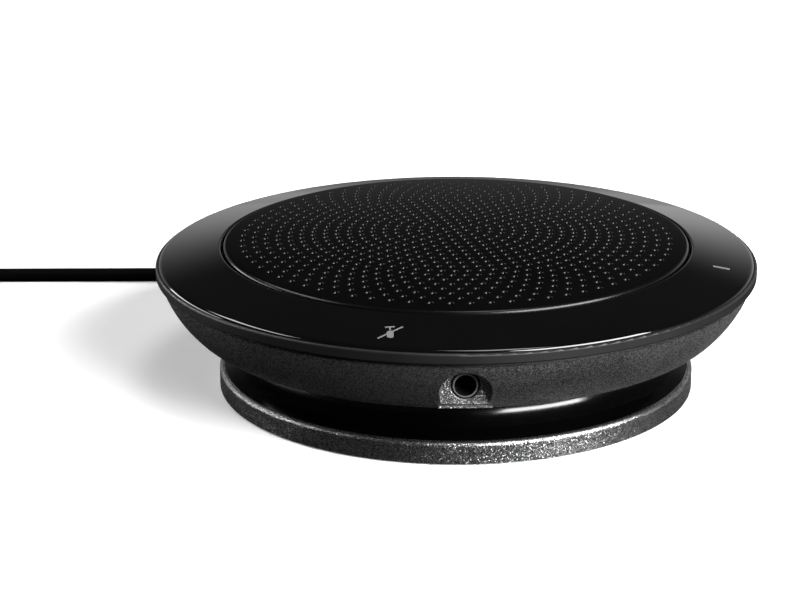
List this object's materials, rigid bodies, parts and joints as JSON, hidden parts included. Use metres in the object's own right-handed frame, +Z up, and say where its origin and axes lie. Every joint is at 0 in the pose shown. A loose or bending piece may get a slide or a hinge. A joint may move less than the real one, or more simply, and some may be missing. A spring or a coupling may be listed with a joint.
{
  "type": "conference speakerphone",
  "caption": "Round desktop conference speakerphone with a domed perforated grille, a sloping touch ring, a bowl-shaped casing, a cord winding groove, a headset jack and a USB lead.",
  "frame": {"origin": "centre of the unit's footprint, on the surface that the rubber pad stands on", "axes": "+Z up along the unit's axis of symmetry, -Y towards the headset jack, +X to the right when the jack faces the viewer"},
  "size_m": [0.2122, 0.1245, 0.0304],
  "materials": {
    "pad_rubber": "matte moulded rubber",
    "base_finish": "dark grey metallic fleck paint on ABS",
    "screw_steel": "zinc plated steel",
    "ballast_steel": "plain steel",
    "neck_gloss": "high gloss black ABS",
    "relief_rubber": "moulded flexible boot",
    "cord_jacket": "soft satin black jacket",
    "wire_sleeve": "coloured wire insulation",
    "inner_nylon": "black nylon",
    "bowl_finish": "black metallic fleck paint on ABS",
    "jack_metal": "nickel plated",
    "contact_metal": "gold flashed spring bronze",
    "board_green": "solder mask on glass epoxy",
    "chip_black": "moulded epoxy",
    "can_metal": "drawn can",
    "socket_plastic": "natural nylon",
    "ribbon_film": "polyimide film",
    "band_satin": "satin dark grey ABS",
    "guide_clear": "frosted acrylic",
    "lamp_white": "phosphor and epoxy",
    "ring_gloss": "piano black polycarbonate",
    "mark_print": "translucent grey print",
    "grille_paint": "black powder coat on perforated steel",
    "screen_cloth": "fine black acoustic mesh",
    "foam_grey": "open cell foam",
    "basket_steel": "black electrocoat on pressed steel",
    "magnet_grey": "sintered magnet",
    "plate_zinc": "zinc plated steel",
    "former_kapton": "polyimide former",
    "coil_copper": "enamelled copper wire",
    "cone_paper": "pressed black paper pulp",
    "surround_rubber": "butyl rubber",
    "spider_cloth": "resin dipped cloth",
    "plug_plastic": "soft moulded black",
    "plug_steel": "nickel plated steel",
    "tongue_black": "white liquid crystal polymer"
  },
  "bodies": {
    "unit": {"amplifier_chip": "chip_black", "audio_chip": "chip_black", "base_pad": "pad_rubber", "base_plate": "base_finish", "base_screws": "screw_steel", "base_weight": "ballast_steel", "board_screws": "screw_steel", "capacitors": "can_metal", "casing_screws": "screw_steel", "clock_crystal": "can_metal", "cord_clamp": "inner_nylon", "driver_basket": "basket_steel", "driver_gasket": "foam_grey", "driver_screws": "screw_steel", "dust_screen": "screen_cloth", "indicator_lights": "lamp_white", "inner_lead": "cord_jacket", "jack_ferrule": "jack_metal", "jack_housing": "inner_nylon", "lead_wires": "wire_sleeve", "light_guide": "guide_clear", "lower_casing": "bowl_finish", "magnet": "magnet_grey", "main_board": "board_green", "memory_chip": "chip_black", "microphone": "can_metal", "microphone_boot": "relief_rubber", "minus_mark": "mark_print", "mute_mark": "mark_print", "plug_contacts": "contact_metal", "plug_overmould": "plug_plastic", "plug_shell": "plug_steel", "plug_tongue": "tongue_black", "processor_chip": "chip_black", "ribbon_cable": "ribbon_film", "ribbon_socket": "socket_plastic", "speaker_grille": "grille_paint", "speaker_socket": "socket_plastic", "spider": "spider_cloth", "strain_relief": "relief_rubber", "surround": "surround_rubber", "terminal_strip": "inner_nylon", "top_plate": "plate_zinc", "touch_board": "board_green", "touch_ring": "ring_gloss", "upper_casing": "band_satin", "usb_cord": "cord_jacket", "usb_cord_coil": "cord_jacket", "usb_cord_tail": "cord_jacket", "usb_socket": "socket_plastic", "winding_neck": "neck_gloss", "yoke": "plate_zinc"},
    "loudspeaker_cone": {"coil_former": "former_kapton", "voice_coil": "coil_copper", "cone": "cone_paper", "dust_cap": "cone_paper"},
    "jack_tip_spring": {"jack_tip_contact": "contact_metal"},
    "jack_ring_spring": {"jack_ring_contact": "contact_metal"}
  },
  "joints": [
    {"name": "cone_travel", "type": "slide", "parent": "unit", "child": "loudspeaker_cone", "axis": [0, 0, 1], "range_m": [-0.0012, 0.0012], "stiffness_N_per_m": 1500, "deforming": ["surround", "spider"]},
    {"name": "tip_spring_bend", "type": "hinge", "parent": "unit", "child": "jack_tip_spring", "pos_m": [0.00258, -0.04335, 0.0172], "axis": [0, 0, 1], "range_deg": [-6, 0], "stiffness_Nm_per_rad": 0.03},
    {"name": "ring_spring_bend", "type": "hinge", "parent": "unit", "child": "jack_ring_spring", "pos_m": [-0.00258, -0.04335, 0.0172], "axis": [0, 0, 1], "range_deg": [0, 6], "stiffness_Nm_per_rad": 0.03}
  ]
}
